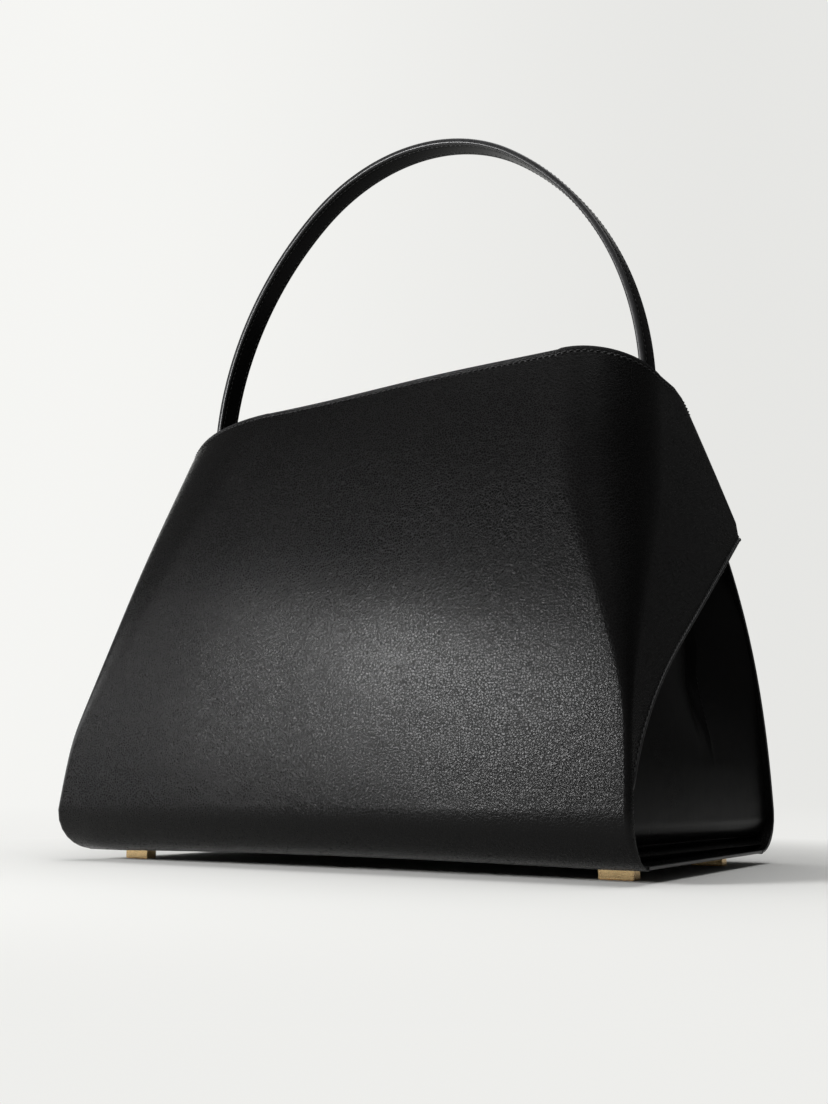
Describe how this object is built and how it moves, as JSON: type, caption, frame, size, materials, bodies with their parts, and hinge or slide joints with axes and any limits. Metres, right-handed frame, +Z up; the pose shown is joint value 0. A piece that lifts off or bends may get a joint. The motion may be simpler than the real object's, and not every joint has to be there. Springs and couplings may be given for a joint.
{
  "type": "tote bag",
  "caption": "Structured tote bag in black leather: a flared boxy body with diagonal side wraps over pleated gussets, low bar feet, an open lined top and a tall arched strap handle.",
  "frame": {"origin": "centre of the body's box, at the level of the undersides of the feet", "axes": "+X is the right-hand end of the bag seen from the front, +Y is its back, +Z is up"},
  "size_m": [0.348, 0.202, 0.433],
  "materials": {
    "panel_leather": "fine pebbled grain, satin",
    "gusset_leather": "smooth, semi-gloss",
    "facing_leather": "smooth, matte",
    "strap_leather": "smooth satin, painted edges",
    "strap_core": "stiff reinforcement",
    "lining_cloth": "matte twill",
    "zip_cloth": "woven tape",
    "board": "stiff board",
    "brass": "satin light gold plating",
    "plate_steel": "plain"
  },
  "bodies": {
    "bag": {"front_panel": "panel_leather", "back_panel": "panel_leather", "base_panel": "panel_leather", "gusset_left": "gusset_leather", "gusset_right": "gusset_leather", "wing_lining_left": "facing_leather", "wing_lining_right": "facing_leather", "rim_facing": "facing_leather", "lining_front": "lining_cloth", "lining_back": "lining_cloth", "lining_left": "lining_cloth", "lining_right": "lining_cloth", "lining_base": "lining_cloth", "base_board": "board", "foot_front_left": "brass", "foot_front_right": "brass", "foot_back_left": "brass", "foot_back_right": "brass", "foot_plates": "plate_steel", "handle_anchor_left": "facing_leather", "handle_anchor_right": "facing_leather", "pivot_screw_left": "brass", "pivot_screw_right": "brass", "pocket_bag": "lining_cloth", "zip_tapes": "zip_cloth", "zip_teeth": "brass", "zip_stops": "brass"},
    "handle": {"handle_outer": "strap_leather", "handle_core": "strap_core", "handle_inner": "strap_leather"},
    "slider": {"zip_slider": "brass"},
    "puller": {"zip_puller": "brass"}
  },
  "joints": [
    {"name": "handle_swing", "type": "hinge", "parent": "bag", "child": "handle", "pos_m": [0.0005, 0, 0.231], "axis": [1, 0, 0], "range_deg": [-45, 20]},
    {"name": "zip_slide", "type": "slide", "parent": "bag", "child": "slider", "axis": [-1, 0, 0], "range_m": [0, 0.133]},
    {"name": "puller_swing", "type": "hinge", "parent": "slider", "child": "puller", "pos_m": [0.06665, 0.07204, 0.17099], "axis": [1, 0, 0], "range_deg": [-150, 0]}
  ]
}
